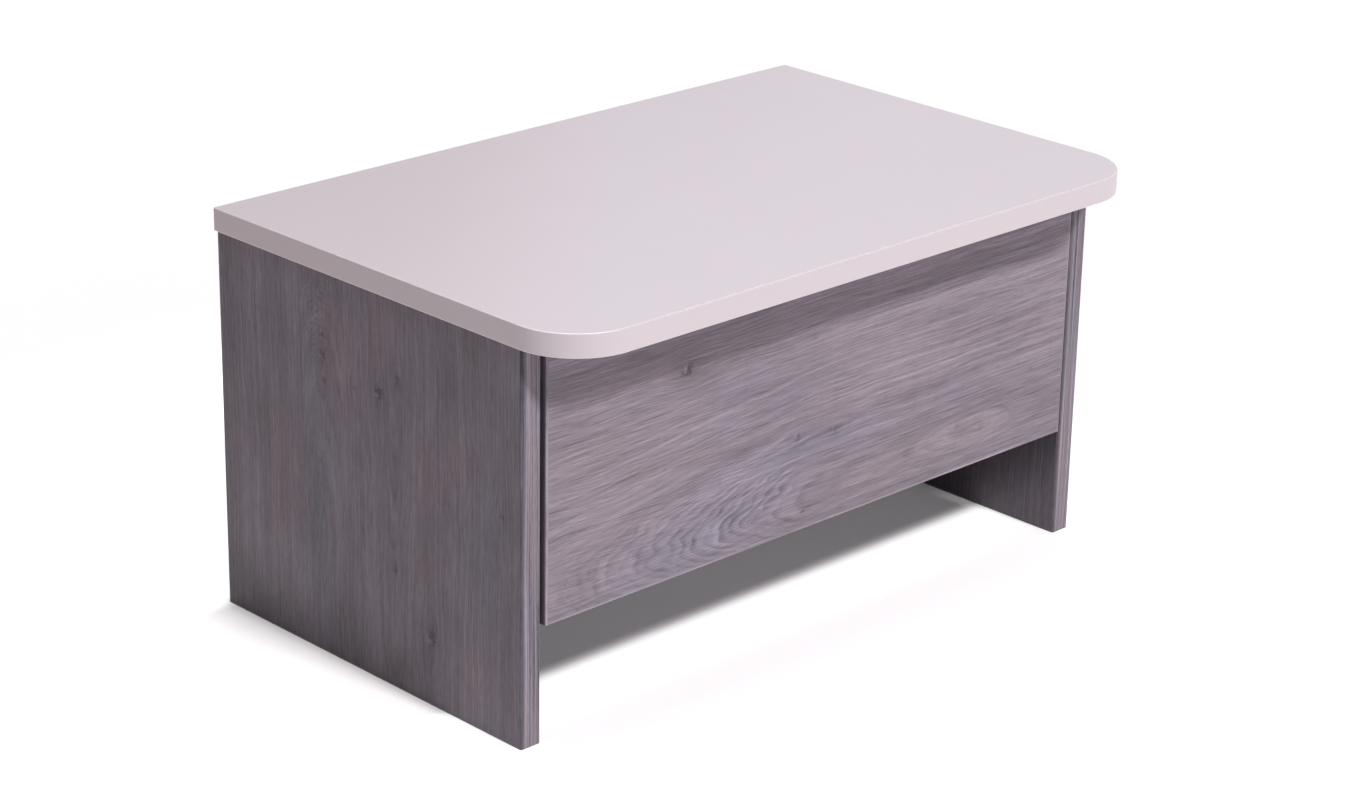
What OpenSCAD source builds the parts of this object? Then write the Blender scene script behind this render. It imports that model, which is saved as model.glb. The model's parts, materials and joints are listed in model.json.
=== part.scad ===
// Low nightstand with one wide drawer, built from laminated boards.
// Millimetres, +Z up. The origin is on the floor, under the middle of the top's outline.
// The drawer opens towards -Y. Everything is drawn with the drawer closed.

/* [Top] */
// Width of the top, over its edge bands
top_w = 600; // [480:1:900]
// Thickness of the top
top_t = 18; // [15:0.5:28]
// How far the top stands out past each side panel
top_side_overhang = 3; // [0:0.5:20]
// How far the top stands out in front of the case
top_front_overhang = 52; // [20:1:90]
// Radius of the top's two front corners, seen from above
top_corner_r = 52; // [20:1:100]

/* [Case] */
// Depth of the case, from the front of the side panels to their back
case_d = 336; // [280:1:480]
// Height of the side panels, from the floor to the underside of the top
side_h = 300; // [270:1:450]
// Thickness of each side panel
side_t = 18; // [15:0.5:28]
// Thickness of the bottom panel of the case
bottom_t = 18; // [15:0.5:28]
// Thickness of the back panel
back_t = 3; // [2.5:0.5:8]
// Distance of the back panel from the rear edges of the side panels
back_inset = 10; // [4:0.5:25]
// Depth of the grooves that hold the back panel and the floor of the drawer
groove_depth = 6; // [3:0.5:8]
// Room across a thin panel in its groove
groove_play = 0.2; // [0.1:0.05:0.5]

/* [Drawer front] */
// Thickness of the drawer front
front_t = 18; // [15:0.5:25]
// Height of the drawer front's lower edge above the floor
front_floor_gap = 90; // [40:1:110]
// Gap between the drawer front and each side panel
front_side_gap = 3; // [1:0.25:5]
// How far the drawer front stands out in front of the side panels
front_stand_out = 2; // [0:0.25:5]
// Gap between the drawer front and the top
front_top_gap = 3; // [1:0.25:8]
// How far the drawer front hangs below the bottom panel, as a grip for the fingers
finger_lip = 18; // [10:1:35]
// Gap between the back of the drawer front and the bottom panel
front_case_gap = 3; // [1:0.25:8]

/* [Drawer box] */
// Thickness of the sides and the back of the drawer box
box_t = 15; // [14:0.5:18]
// Gap between the drawer box and the bottom panel
box_floor_gap = 14; // [5:1:30]
// Gap between the drawer box and the top
box_top_gap = 30; // [8:1:40]
// Gap between the drawer box and the back panel
box_rear_gap = 7; // [4:0.5:20]
// Thickness of the drawer's floor
floor_t = 3; // [2.5:0.5:6]
// Height of the drawer's floor above the lower edge of the drawer box
floor_lift = 10; // [8:0.5:12]

/* [Edge bands] */
// Thickness of the thick bands on the edges that show
band_t = 2; // [1.9:0.1:3]
// Rounding of the thick bands on the side panels
band_r = 1.8; // [0.2:0.1:1.8]
// Rounding of the thick bands on the drawer front
front_band_r = 1; // [0.2:0.1:1.8]
// Rounding of the thick band around the top
top_band_r = 1; // [0.2:0.1:1.8]
// Thickness of the thin bands on the other edges
thin_band_t = 1; // [0.4:0.1:2]

/* [Board fittings] */
// Diameter of the wooden dowels
dowel_d = 8; // [5:0.5:10]
// Length of the wooden dowels
dowel_l = 30; // [24:1:40]
// How deep a dowel stands in the face of a board
dowel_face_depth = 10; // [6:0.5:12]
// Length of the small bevel on a dowel's ends
dowel_bevel = 1; // [0.5:0.1:1.5]
// Diameter of a cam
cam_d = 15; // [12:0.5:16]
// Depth of a cam
cam_depth = 12.5; // [11:0.25:13.5]
// Distance of a cam's axis from the joint that it pulls tight
cam_reach = 34; // [24:0.5:40]
// Length of the cross cut in the face of a cam
cam_cross_l = 8; // [5:0.5:10]
// Width of the cross cut in the face of a cam
cam_cross_w = 1.6; // [1:0.1:2.5]
// Depth of the cross cut in the face of a cam
cam_cross_depth = 2.5; // [1:0.25:2.75]
// Room round a cam bolt's head in the hollow of its cam
cam_head_room = 0.2; // [0.1:0.05:0.4]
// Diameter of a cam bolt's smooth shaft
cam_bolt_d = 6.4; // [5:0.1:7]
// Diameter of the head that the cam grips
cam_head_d = 7; // [6:0.1:7.4]
// Thickness of the head that the cam grips
cam_head_t = 2.6; // [2:0.1:4]
// Diameter of the neck behind that head
cam_neck_d = 4.4; // [3:0.1:5]
// Length of the neck behind that head
cam_neck_l = 4; // [2:0.25:6]
// Diameter of a cam bolt's thread
cam_thread_d = 5; // [4:0.25:6]
// Length of a cam bolt's thread
cam_thread_l = 11; // [8:0.5:12]
// Diameter of the bore for a cam bolt in the edge of a board
cam_bore_d = 8; // [7.4:0.1:9]
// Distance of the cams from the ends of a case joint
fitting_inset = 60; // [30:1:80]
// Distance from a cam to the dowel beside it along a case joint
dowel_step = 32; // [20:1:50]
// Distance of the drawer front's cams from the edges of the drawer box
box_cam_inset = 25; // [20:1:28]
// Distance of the drawer front's dowels from the edges of the drawer box
box_dowel_inset = 45; // [42:1:48]
// Radial play of dowels, cams and screws in their bores
fitting_play = 0.1; // [0.05:0.05:0.2]

/* [Screws] */
// Diameter of the rail screws
rail_screw_d = 3.5; // [3:0.1:4.2]
// Length of the rail screws
rail_screw_l = 12; // [9:0.5:13]
// Diameter of the head of a rail screw
rail_screw_head_d = 7; // [6:0.1:8]
// Height of the head of a rail screw
rail_screw_head_h = 2.1; // [1.6:0.1:2.5]
// Distance of the outer rail screws from the ends of a rail
rail_screw_inset = 35; // [20:1:60]
// Diameter of the long screws in the back of the drawer box
box_screw_d = 5; // [4:0.25:6]
// Length of the long screws in the back of the drawer box
box_screw_l = 50; // [40:1:60]
// Diameter of the head of such a long screw
box_screw_head_d = 10; // [8:0.5:12]
// Height of the head of such a long screw
box_screw_head_h = 3; // [2:0.25:4]
// Distance of the long screws from the edges of the back of the drawer box
box_screw_inset = 20; // [12:1:26]
// Diameter of the small screws in the thin panels
panel_screw_d = 3; // [2.5:0.1:3.5]
// Length of the small screws in the thin panels
panel_screw_l = 16; // [12:0.5:25]
// Diameter of the head of a small screw
panel_screw_head_d = 6.5; // [5.5:0.1:8]
// Height of the head of a small screw
panel_screw_head_h = 1.8; // [1.4:0.1:2]
// Number of small screws along the back panel
back_screw_count = 4; // [2:1:8]
// Number of small screws along the drawer's floor
floor_screw_count = 3; // [2:1:6]
// Distance of the outer small screws from the ends of what they hold
panel_screw_inset = 45; // [20:1:100]
// Length of the cross cut in a screw's head
screw_cross_l = 4; // [3:0.1:4.4]
// Width of the cross cut in a screw's head
screw_cross_w = 0.9; // [0.6:0.1:1.2]
// Depth of the cross cut in a screw's head
screw_cross_depth = 1; // [0.5:0.1:1.2]
// Bevel round the face of a raised screw head
screw_head_bevel = 0.6; // [0.2:0.1:1]

/* [Ball slides] */
// Thickness of the steel sheet of the rails
rail_sheet = 1.2; // [0.8:0.05:1.4]
// Height of a slide
rail_h = 45.6; // [40:0.2:50]
// Distance of the rails' front ends from the back of the drawer front
rail_setback = 1.5; // [0.5:0.25:3.5]
// Diameter of the balls
ball_d = 3.6; // [3:0.1:4]
// Clearance between a ball and its races
race_clearance = 0.15; // [0.05:0.05:0.25]
// How far a race wraps round its balls, to each side of the middle
race_angle = 60; // [50:1:65]
// How far the free lip of the drawer rail wraps round its balls
lip_angle = 45; // [30:1:50]
// Thickness of the ball cages
cage_t = 0.6; // [0.4:0.05:0.8]
// Clearance between a ball cage and the rails
cage_clearance = 0.43; // [0.35:0.01:0.6]
// Clearance between a ball and its pocket in the cage
pocket_clearance = 0.2; // [0.1:0.05:0.3]
// Room left past each end of a cage when the drawer is fully open
cage_end_room = 3; // [1:0.5:10]
// Number of balls in each of the groups at the two ends of a cage
balls_in_group = 4; // [2:1:6]
// Distance between two balls of a group
ball_pitch = 8; // [5:0.5:10]
// Distance of the outer balls from the ends of the cage
ball_end_inset = 6; // [4:0.5:10]
// Diameter of the holes in the middle rail that let a screwdriver through
access_hole_d = 9; // [7:0.5:12]

/* [Hidden] */
$fn = 96;
// How far a cut starts outside the face that it goes into
cut = 1;

// Places in the case
case_w = top_w - 2 * top_side_overhang;
case_inner_w = case_w - 2 * side_t;
top_d = case_d + top_front_overhang;
back_y = top_d / 2;
case_front_y = back_y - case_d;
front_y = case_front_y - front_stand_out;
front_back_y = front_y + front_t;
side_mid_x = case_w / 2 - side_t / 2;
back_panel_y = back_y - back_inset - back_t;
bottom_z = front_floor_gap + finger_lip;
bottom_top_z = bottom_z + bottom_t;
bottom_front_y = front_back_y + front_case_gap;
bottom_mid_z = bottom_z + bottom_t / 2;

// Places in the drawer
front_w = case_inner_w - 2 * front_side_gap;
front_h = side_h - front_top_gap - front_floor_gap;
box_z = bottom_top_z + box_floor_gap;
box_h = side_h - box_top_gap - box_z;
box_l = back_panel_y - box_rear_gap - front_back_y;
box_back_y = front_back_y + box_l - box_t;
floor_z = box_z + floor_lift;
floor_top_z = floor_z + floor_t;

// The slide's section: u runs from the side panel to the drawer box, v runs up from the middle
ball_r = ball_d / 2;
race_r = ball_r + race_clearance;
race_mid_r = race_r + rail_sheet / 2;
race_back_r = race_r + rail_sheet;
middle_u = rail_sheet + cage_t + 2 * cage_clearance;
outer_u = middle_u + rail_sheet / 2 + race_mid_r * sin(race_angle);
outer_v = rail_h / 2 - race_back_r;
inner_u = outer_u + 2 * race_mid_r * sin(race_angle);
inner_v = outer_v - 2 * race_mid_r * cos(race_angle);
slide_t = ceil(100 * (inner_u + race_mid_r * sin(race_angle) + rail_sheet / 2)) / 100;
race_drop = race_mid_r * cos(race_angle);
// How far the two bends of the middle rail's S run into each other
seam_angle = 3;

// Places that follow from the slide
box_w = case_inner_w - 2 * slide_t;
box_inner_w = box_w - 2 * box_t;
box_side_mid_x = box_w / 2 - box_t / 2;
rail_l = box_l;
rail_y = front_back_y + rail_setback;
rail_z = box_z + box_h / 2;
cage_l = rail_l / 2 - 2 * cage_end_room;
cage_y = (rail_l - cage_l) / 2;

// Places of the fittings
top_cam_ys = [case_front_y + fitting_inset, back_y - fitting_inset];
top_dowel_ys = [top_cam_ys[0] + dowel_step, top_cam_ys[1] - dowel_step];
bottom_cam_ys = [bottom_front_y + fitting_inset, back_panel_y - fitting_inset];
bottom_dowel_ys = [bottom_cam_ys[0] + dowel_step, bottom_cam_ys[1] - dowel_step];
box_cam_zs = [box_z + box_cam_inset, box_z + box_h - box_cam_inset];
box_dowel_zs = [box_z + box_dowel_inset, box_z + box_h - box_dowel_inset];
rail_screw_ys = [rail_screw_inset, rail_l / 2, rail_l - rail_screw_inset];
box_screw_zs = [floor_top_z + box_screw_inset, box_z + box_h - box_screw_inset];
ball_ys = [
    for (k = [0:balls_in_group - 1]) ball_end_inset + k * ball_pitch,
    for (k = [0:balls_in_group - 1]) cage_l - ball_end_inset - k * ball_pitch
];

// Colours as they show
top_colour = [0.86, 0.83, 0.85];
oak_colour = [0.45, 0.42, 0.45];
oak_front_colour = [0.55, 0.51, 0.54];
board_colour = [0.80, 0.79, 0.80];
beech_colour = [0.80, 0.66, 0.47];
zinc_colour = [0.66, 0.67, 0.69];
steel_colour = [0.74, 0.75, 0.77];
cage_colour = [0.30, 0.31, 0.33];

LEFT = -1;
RIGHT = 1;

// A block between two opposite corners
module block(low, high) {
    translate(low) cube(high - low);
}

// Draws what belongs on the left, or its mirror image on the right
module on_side(side) {
    mirror([side == RIGHT ? 1 : 0, 0, 0]) children();
}

// What rounding takes off a corner at the origin, where the section lies right of it and below it
module corner_waste(r) {
    difference() {
        translate([-r, -r]) square(2 * r);
        translate([r, -r]) circle(r);
    }
}

// Section of an edge band: glued along y = 0, rounded at its two outer corners
module band_section(width, thickness, r) {
    difference() {
        square([width, thickness]);
        translate([0, thickness]) corner_waste(r);
        translate([width, thickness]) mirror([1, 0]) corner_waste(r);
    }
}

// A dowel along z, standing the given depth above the joint at z = 0
module dowel(play = 0) {
    low = dowel_face_depth - dowel_l - play;
    high = dowel_face_depth + play;
    r = dowel_d / 2 + play;
    tip_r = r - dowel_bevel / 2;
    translate([0, 0, low]) cylinder(h = dowel_bevel, r1 = tip_r, r2 = r);
    translate([0, 0, low + dowel_bevel]) cylinder(h = high - low - 2 * dowel_bevel, r = r);
    translate([0, 0, high - dowel_bevel]) cylinder(h = dowel_bevel, r1 = r, r2 = tip_r);
}

// The straight bore that a dowel stands in
module dowel_bore() {
    low = dowel_face_depth - dowel_l - fitting_play;
    translate([0, 0, low]) cylinder(h = dowel_l + 2 * fitting_play, r = dowel_d / 2 + fitting_play);
}

// A cam bolt along z: its thread stands above the joint at z = 0, its head hangs in the cam
module cam_bolt() {
    head_low = -cam_reach - cam_head_t / 2;
    neck_low = head_low + cam_head_t;
    shaft_low = neck_low + cam_neck_l;
    cylinder(h = cam_thread_l, d = cam_thread_d);
    translate([0, 0, shaft_low]) cylinder(h = -shaft_low, d = cam_bolt_d);
    translate([0, 0, neck_low]) cylinder(h = cam_neck_l, d = cam_neck_d);
    translate([0, 0, head_low]) cylinder(h = cam_head_t, d = cam_head_d);
}

// The bores for a cam bolt: a narrow one above the joint, and below it a wide one that takes in its head
module cam_bolt_bore() {
    wide_l = cam_reach + cam_head_t / 2 + cam_head_room;
    cylinder(h = cam_thread_l + fitting_play, r = cam_thread_d / 2 + fitting_play);
    translate([0, 0, -wide_l]) cylinder(h = wide_l, d = cam_bore_d);
}

// Where a cam lies for a bolt along z, in a board with its middle at x = 0 and its face at +x
module at_cam(board_t) {
    translate([board_t / 2 - cam_depth, 0, -cam_reach]) rotate([0, 90, 0]) children();
}

// A cross for a screwdriver, cut from a face at z = 0 into what lies above it
module driver_cross(l, w, depth) {
    for (turn = [0, 90])
        rotate([0, 0, turn]) translate([-l / 2, -w / 2, -cut]) cube([l, w, depth + cut]);
}

// A cam with its hollow for the bolt's head and the cross for the screwdriver
module cam(board_t) {
    hollow_low = -cam_reach - cam_head_t / 2 - cam_head_room;
    difference() {
        at_cam(board_t) difference() {
            cylinder(h = cam_depth, d = cam_d);
            translate([0, 0, cam_depth])
                mirror([0, 0, 1]) driver_cross(cam_cross_l, cam_cross_w, cam_cross_depth);
        }
        translate([0, 0, hollow_low]) cylinder(h = cam_d, r = cam_head_d / 2 + cam_head_room);
    }
}

// The pocket that a cam lies in
module cam_pocket(board_t) {
    at_cam(board_t)
        translate([0, 0, -fitting_play])
            cylinder(h = cam_depth + cut + fitting_play, r = cam_d / 2 + fitting_play);
}

// The cross in a screw's head, for a screw that points up from z = 0
module screw_cross() {
    driver_cross(screw_cross_l, screw_cross_w, screw_cross_depth);
}

// The solid of a screw with a sunk head, its face at z = 0 and its point up
module sunk_screw_form(l, d, head_d, head_h, play) {
    cylinder(h = head_h, r1 = head_d / 2 + play, r2 = d / 2 + play);
    cylinder(h = l + play, r = d / 2 + play);
}

module sunk_screw(l, d, head_d, head_h) {
    difference() {
        sunk_screw_form(l, d, head_d, head_h, 0);
        screw_cross();
    }
}

// A screw with a raised head below z = 0 and its point up
module raised_screw(l, d, head_d, head_h) {
    head_r = head_d / 2;
    bevel = screw_head_bevel;
    difference() {
        union() {
            translate([0, 0, -head_h]) cylinder(h = bevel, r1 = head_r - bevel, r2 = head_r);
            translate([0, 0, bevel - head_h]) cylinder(h = head_h - bevel, r = head_r);
            cylinder(h = l, r = d / 2);
        }
        translate([0, 0, -head_h]) screw_cross();
    }
}

// The bore for a screw of this size
module screw_bore(l, d) {
    translate([0, 0, -cut]) cylinder(h = l + cut + fitting_play, r = d / 2 + fitting_play);
}

// Frames of the joints. In each, z points from the joint into the board that is bored in its face.
module at_top_joint(ys) {
    for (side = [LEFT, RIGHT], y = ys)
        on_side(side) translate([-side_mid_x, y, side_h]) children();
}

module at_bottom_joint(ys) {
    for (side = [LEFT, RIGHT], y = ys)
        on_side(side)
            translate([-case_inner_w / 2, y, bottom_mid_z])
                rotate([0, -90, 0]) rotate([0, 0, 180])
                    children();
}

module at_drawer_joint(zs) {
    for (side = [LEFT, RIGHT], z = zs)
        on_side(side) translate([-box_side_mid_x, front_back_y, z]) rotate([90, 0, 0]) children();
}

// Frames of the screws, each with its head at z = 0
module at_cabinet_rail_screws() {
    for (side = [LEFT, RIGHT], y = rail_screw_ys)
        on_slide(side) translate([rail_sheet, y, 0]) rotate([0, -90, 0]) children();
}

module at_drawer_rail_screws() {
    for (side = [LEFT, RIGHT], y = rail_screw_ys)
        on_slide(side) translate([slide_t - rail_sheet, y, 0]) rotate([0, 90, 0]) children();
}

module at_drawer_back_screws() {
    for (side = [LEFT, RIGHT], z = box_screw_zs)
        on_side(side) translate([-box_w / 2, box_back_y + box_t / 2, z]) rotate([0, 90, 0]) children();
}

module at_back_panel_screws() {
    span = case_inner_w - 2 * panel_screw_inset;
    for (k = [0:back_screw_count - 1])
        translate([k * span / (back_screw_count - 1) - span / 2, back_panel_y + back_t, bottom_mid_z])
            rotate([90, 0, 0])
                children();
}

module at_floor_screws() {
    span = box_inner_w - 2 * panel_screw_inset;
    for (k = [0:floor_screw_count - 1])
        translate([k * span / (floor_screw_count - 1) - span / 2, box_back_y + box_t / 2, floor_z])
            children();
}

// The top board, without its bands
module top_panel() {
    inner_r = top_corner_r - band_t;
    low_y = band_t - top_d / 2;
    high_y = top_d / 2 - thin_band_t;
    half_w = top_w / 2 - band_t;
    color(top_colour) difference() {
        translate([0, 0, side_h]) linear_extrude(top_t) difference() {
            translate([-half_w, low_y]) square([2 * half_w, high_y - low_y]);
            for (side = [LEFT, RIGHT])
                mirror([side == RIGHT ? 1 : 0, 0])
                    translate([-half_w, low_y]) mirror([0, 1]) corner_waste(inner_r);
        }
        at_top_joint(top_cam_ys) cam_bolt_bore();
        at_top_joint(top_dowel_ys) dowel_bore();
        back_groove();
    }
}

// Section of the top's thick band: x points out of the board, y up
module top_band_section() {
    rotate([0, 0, 90]) mirror([0, 1]) band_section(top_t, band_t, top_band_r);
}

// One band runs along the left edge, round the two front corners and along the right edge
module top_edge_band() {
    straight_l = top_w - 2 * top_corner_r;
    side_l = top_d - top_corner_r;
    color(top_colour) translate([0, 0, side_h]) {
        translate([straight_l / 2, band_t - top_d / 2, 0])
            rotate([90, 0, -90]) linear_extrude(straight_l) top_band_section();
        for (side = [LEFT, RIGHT])
            on_side(side) {
                translate([band_t - top_w / 2, top_d / 2 - side_l, 0])
                    rotate([90, 0, 180]) linear_extrude(side_l) top_band_section();
                translate([top_corner_r - top_w / 2, top_corner_r - top_d / 2, 0])
                    rotate([0, 0, 180])
                        rotate_extrude(angle = 90)
                            translate([top_corner_r - band_t, 0]) top_band_section();
            }
    }
}

module top_back_edge_band() {
    half_w = top_w / 2 - band_t;
    color(top_colour)
        block([-half_w, back_y - thin_band_t, side_h], [half_w, back_y, side_h + top_t]);
}

// The groove round the back panel, in the side panels and the top
module back_groove() {
    half_w = case_inner_w / 2 + groove_depth;
    low_y = back_panel_y - groove_play / 2;
    high_y = back_panel_y + back_t + groove_play / 2;
    block([-half_w, low_y, -cut], [half_w, high_y, side_h + groove_depth]);
}

// A side panel, without its bands, with the bores for all that it carries
module side_panel(side) {
    color(oak_colour) difference() {
        on_side(side)
            block([-case_w / 2, case_front_y + band_t, thin_band_t],
                  [-case_inner_w / 2, back_y - thin_band_t, side_h]);
        at_top_joint(top_cam_ys) {
            cam_bolt_bore();
            cam_pocket(side_t);
        }
        at_top_joint(top_dowel_ys) dowel_bore();
        at_bottom_joint(bottom_cam_ys) cam_bolt_bore();
        at_bottom_joint(bottom_dowel_ys) dowel_bore();
        at_cabinet_rail_screws()
            sunk_screw_form(rail_screw_l, rail_screw_d, rail_screw_head_d, rail_screw_head_h,
                            fitting_play);
        back_groove();
    }
}

module side_front_band(side) {
    color(oak_colour)
        on_side(side)
            translate([-case_w / 2, case_front_y + band_t, 0])
                linear_extrude(side_h) mirror([0, 1]) band_section(side_t, band_t, band_r);
}

module side_back_band(side) {
    color(oak_colour)
        on_side(side)
            block([-case_w / 2, back_y - thin_band_t, 0], [-case_inner_w / 2, back_y, side_h]);
}

module side_bottom_band(side) {
    color(oak_colour) difference() {
        on_side(side)
            block([-case_w / 2, case_front_y + band_t, 0],
                  [-case_inner_w / 2, back_y - thin_band_t, thin_band_t]);
        back_groove();
    }
}

// The bottom panel of the case lies between the side panels, behind the drawer front
module bottom_panel() {
    color(oak_colour) difference() {
        block([-case_inner_w / 2, bottom_front_y + thin_band_t, bottom_z],
              [case_inner_w / 2, back_panel_y, bottom_top_z]);
        at_bottom_joint(bottom_cam_ys) {
            cam_bolt_bore();
            cam_pocket(bottom_t);
        }
        at_bottom_joint(bottom_dowel_ys) dowel_bore();
        at_back_panel_screws() screw_bore(panel_screw_l, panel_screw_d);
    }
}

module bottom_front_edge_band() {
    color(oak_colour)
        block([-case_inner_w / 2, bottom_front_y, bottom_z],
              [case_inner_w / 2, bottom_front_y + thin_band_t, bottom_top_z]);
}

// The thin back panel stands in the grooves and is screwed to the bottom panel
module back_panel() {
    half_w = case_inner_w / 2 + groove_depth - groove_play;
    color(board_colour) difference() {
        block([-half_w, back_panel_y, bottom_z],
              [half_w, back_panel_y + back_t, side_h + groove_depth - groove_play]);
        at_back_panel_screws() screw_bore(panel_screw_l, panel_screw_d);
    }
}

module top_dowels() {
    color(beech_colour) at_top_joint(top_dowel_ys) dowel();
}

module top_cam_bolts() {
    color(steel_colour) at_top_joint(top_cam_ys) cam_bolt();
}

module top_cams() {
    color(zinc_colour) at_top_joint(top_cam_ys) cam(side_t);
}

module bottom_dowels() {
    color(beech_colour) at_bottom_joint(bottom_dowel_ys) dowel();
}

module bottom_cam_bolts() {
    color(steel_colour) at_bottom_joint(bottom_cam_ys) cam_bolt();
}

module bottom_cams() {
    color(zinc_colour) at_bottom_joint(bottom_cam_ys) cam(bottom_t);
}

module back_panel_screws() {
    color(steel_colour)
        at_back_panel_screws()
            raised_screw(panel_screw_l, panel_screw_d, panel_screw_head_d, panel_screw_head_h);
}

// The drawer front, without its bands
module drawer_front() {
    half_w = front_w / 2 - band_t;
    color(oak_front_colour) difference() {
        block([-half_w, front_y, front_floor_gap + band_t],
              [half_w, front_back_y, front_floor_gap + front_h - band_t]);
        at_drawer_joint(box_cam_zs) cam_bolt_bore();
        at_drawer_joint(box_dowel_zs) dowel_bore();
        floor_groove();
    }
}

// An upright band of the drawer front, past the ends of the two level ones
module front_upright_band(side) {
    color(oak_front_colour)
        on_side(side)
            translate([band_t - front_w / 2, front_y, front_floor_gap])
                linear_extrude(front_h) rotate([0, 0, 90]) band_section(front_t, band_t, front_band_r);
}

// A level band of the drawer front, along its lower or its upper edge
module front_level_band(upper) {
    level_l = front_w - 2 * band_t;
    color(oak_front_colour)
        translate([-level_l / 2, front_y, front_floor_gap + front_h / 2])
            mirror([0, 0, upper ? 1 : 0])
                translate([0, 0, band_t - front_h / 2])
                    rotate([0, 90, 0]) linear_extrude(level_l)
                        rotate([0, 0, 90]) mirror([0, 1]) band_section(front_t, band_t, front_band_r);
}

// The groove round the drawer's floor, in the drawer front and the sides of the box
module floor_groove() {
    half_w = box_inner_w / 2 + groove_depth;
    low_z = floor_z - groove_play / 2;
    high_z = floor_top_z + groove_play / 2;
    block([-half_w, front_back_y - groove_depth, low_z], [half_w, back_panel_y, high_z]);
}

module drawer_side(side) {
    color(board_colour) difference() {
        on_side(side)
            block([-box_w / 2, front_back_y, box_z],
                  [-box_inner_w / 2, front_back_y + box_l, box_z + box_h - thin_band_t]);
        at_drawer_joint(box_cam_zs) {
            cam_bolt_bore();
            cam_pocket(box_t);
        }
        at_drawer_joint(box_dowel_zs) dowel_bore();
        at_drawer_rail_screws() screw_bore(rail_screw_l, rail_screw_d);
        at_drawer_back_screws()
            sunk_screw_form(box_screw_l, box_screw_d, box_screw_head_d, box_screw_head_h, fitting_play);
        floor_groove();
    }
}

// The back of the drawer box stands on the drawer's floor
module drawer_back() {
    color(board_colour) difference() {
        block([-box_inner_w / 2, box_back_y, floor_top_z],
              [box_inner_w / 2, box_back_y + box_t, box_z + box_h - thin_band_t]);
        at_drawer_back_screws()
            sunk_screw_form(box_screw_l, box_screw_d, box_screw_head_d, box_screw_head_h, fitting_play);
        at_floor_screws() screw_bore(panel_screw_l, panel_screw_d);
    }
}

module drawer_floor() {
    half_w = box_inner_w / 2 + groove_depth - groove_play;
    color(board_colour) difference() {
        block([-half_w, front_back_y - groove_depth + groove_play, floor_z],
              [half_w, box_back_y + box_t, floor_top_z]);
        at_floor_screws() screw_bore(panel_screw_l, panel_screw_d);
    }
}

// Thin bands on the upper edges of the drawer box
module drawer_side_band(side) {
    color(board_colour)
        on_side(side)
            block([-box_w / 2, front_back_y, box_z + box_h - thin_band_t],
                  [-box_inner_w / 2, front_back_y + box_l, box_z + box_h]);
}

module drawer_back_band() {
    color(board_colour)
        block([-box_inner_w / 2, box_back_y, box_z + box_h - thin_band_t],
              [box_inner_w / 2, box_back_y + box_t, box_z + box_h]);
}

module drawer_front_dowels() {
    color(beech_colour) at_drawer_joint(box_dowel_zs) dowel();
}

module drawer_front_cam_bolts() {
    color(steel_colour) at_drawer_joint(box_cam_zs) cam_bolt();
}

module drawer_front_cams() {
    color(zinc_colour) at_drawer_joint(box_cam_zs) cam(box_t);
}

module drawer_back_screws() {
    color(steel_colour)
        at_drawer_back_screws()
            sunk_screw(box_screw_l, box_screw_d, box_screw_head_d, box_screw_head_h);
}

module drawer_floor_screws() {
    color(steel_colour)
        at_floor_screws()
            raised_screw(panel_screw_l, panel_screw_d, panel_screw_head_d, panel_screw_head_h);
}

// Frame of a slide: x is u, y runs back from the rails' front ends, z is v
module on_slide(side) {
    on_side(side) translate([-case_inner_w / 2, rail_y, rail_z]) children();
}

// Runs a section in u and v back from y = 0
module along_slide(l) {
    rotate([90, 0, 0]) mirror([0, 0, 1]) linear_extrude(l) children();
}

// The same thing above and below the middle of the slide
module above_and_below() {
    children();
    mirror([0, 1]) children();
}

// A web of sheet across the middle of a section
module web(u, sheet, half_h) {
    translate([u, -half_h]) square([sheet, 2 * half_h]);
}

// A bent strip of sheet round a centre, between two angles
module bent_strip(centre, mid_r, sheet, from, to) {
    reach = 2 * (mid_r + sheet);
    translate(centre) intersection() {
        difference() {
            circle(mid_r + sheet / 2);
            circle(mid_r - sheet / 2);
        }
        polygon([[0, 0], for (k = [0:2]) let (a = from + (to - from) * k / 2) reach * [cos(a), sin(a)]]);
    }
}

// The rail on the side panel: it wraps the outer balls from above and below
module cabinet_rail_section() {
    link_top = outer_v + race_drop + rail_sheet / 2;
    web(0, rail_sheet, link_top - rail_sheet / 2);
    above_and_below() {
        translate([0, link_top - rail_sheet])
            square([outer_u - race_mid_r * sin(race_angle), rail_sheet]);
        bent_strip([outer_u, outer_v], race_mid_r, rail_sheet, 90 - race_angle, 90 + race_angle);
    }
}

// The middle rail: one race for the outer balls and one for the inner balls, in an S
module middle_rail_section() {
    web(middle_u, rail_sheet, outer_v - race_drop);
    above_and_below() {
        bent_strip([outer_u, outer_v], race_mid_r, rail_sheet,
                   270 - race_angle, 270 + race_angle + seam_angle);
        bent_strip([inner_u, inner_v], race_mid_r, rail_sheet,
                   90 - race_angle, 90 + race_angle + seam_angle);
    }
}

// The rail on the drawer box: it lies inside the inner balls
module drawer_rail_section() {
    web(slide_t - rail_sheet, rail_sheet, inner_v - race_drop);
    above_and_below()
        bent_strip([inner_u, inner_v], race_mid_r, rail_sheet, 270 - lip_angle, 270 + race_angle);
}

// The outer cage lies between the cabinet rail and the middle rail
module outer_cage_section() {
    web_u = rail_sheet + cage_clearance;
    arm_end = outer_u + ball_r - pocket_clearance / 2;
    difference() {
        web(web_u, arm_end - web_u, outer_v + cage_t / 2);
        web(web_u + cage_t, arm_end - web_u, outer_v - cage_t / 2);
    }
}

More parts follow.
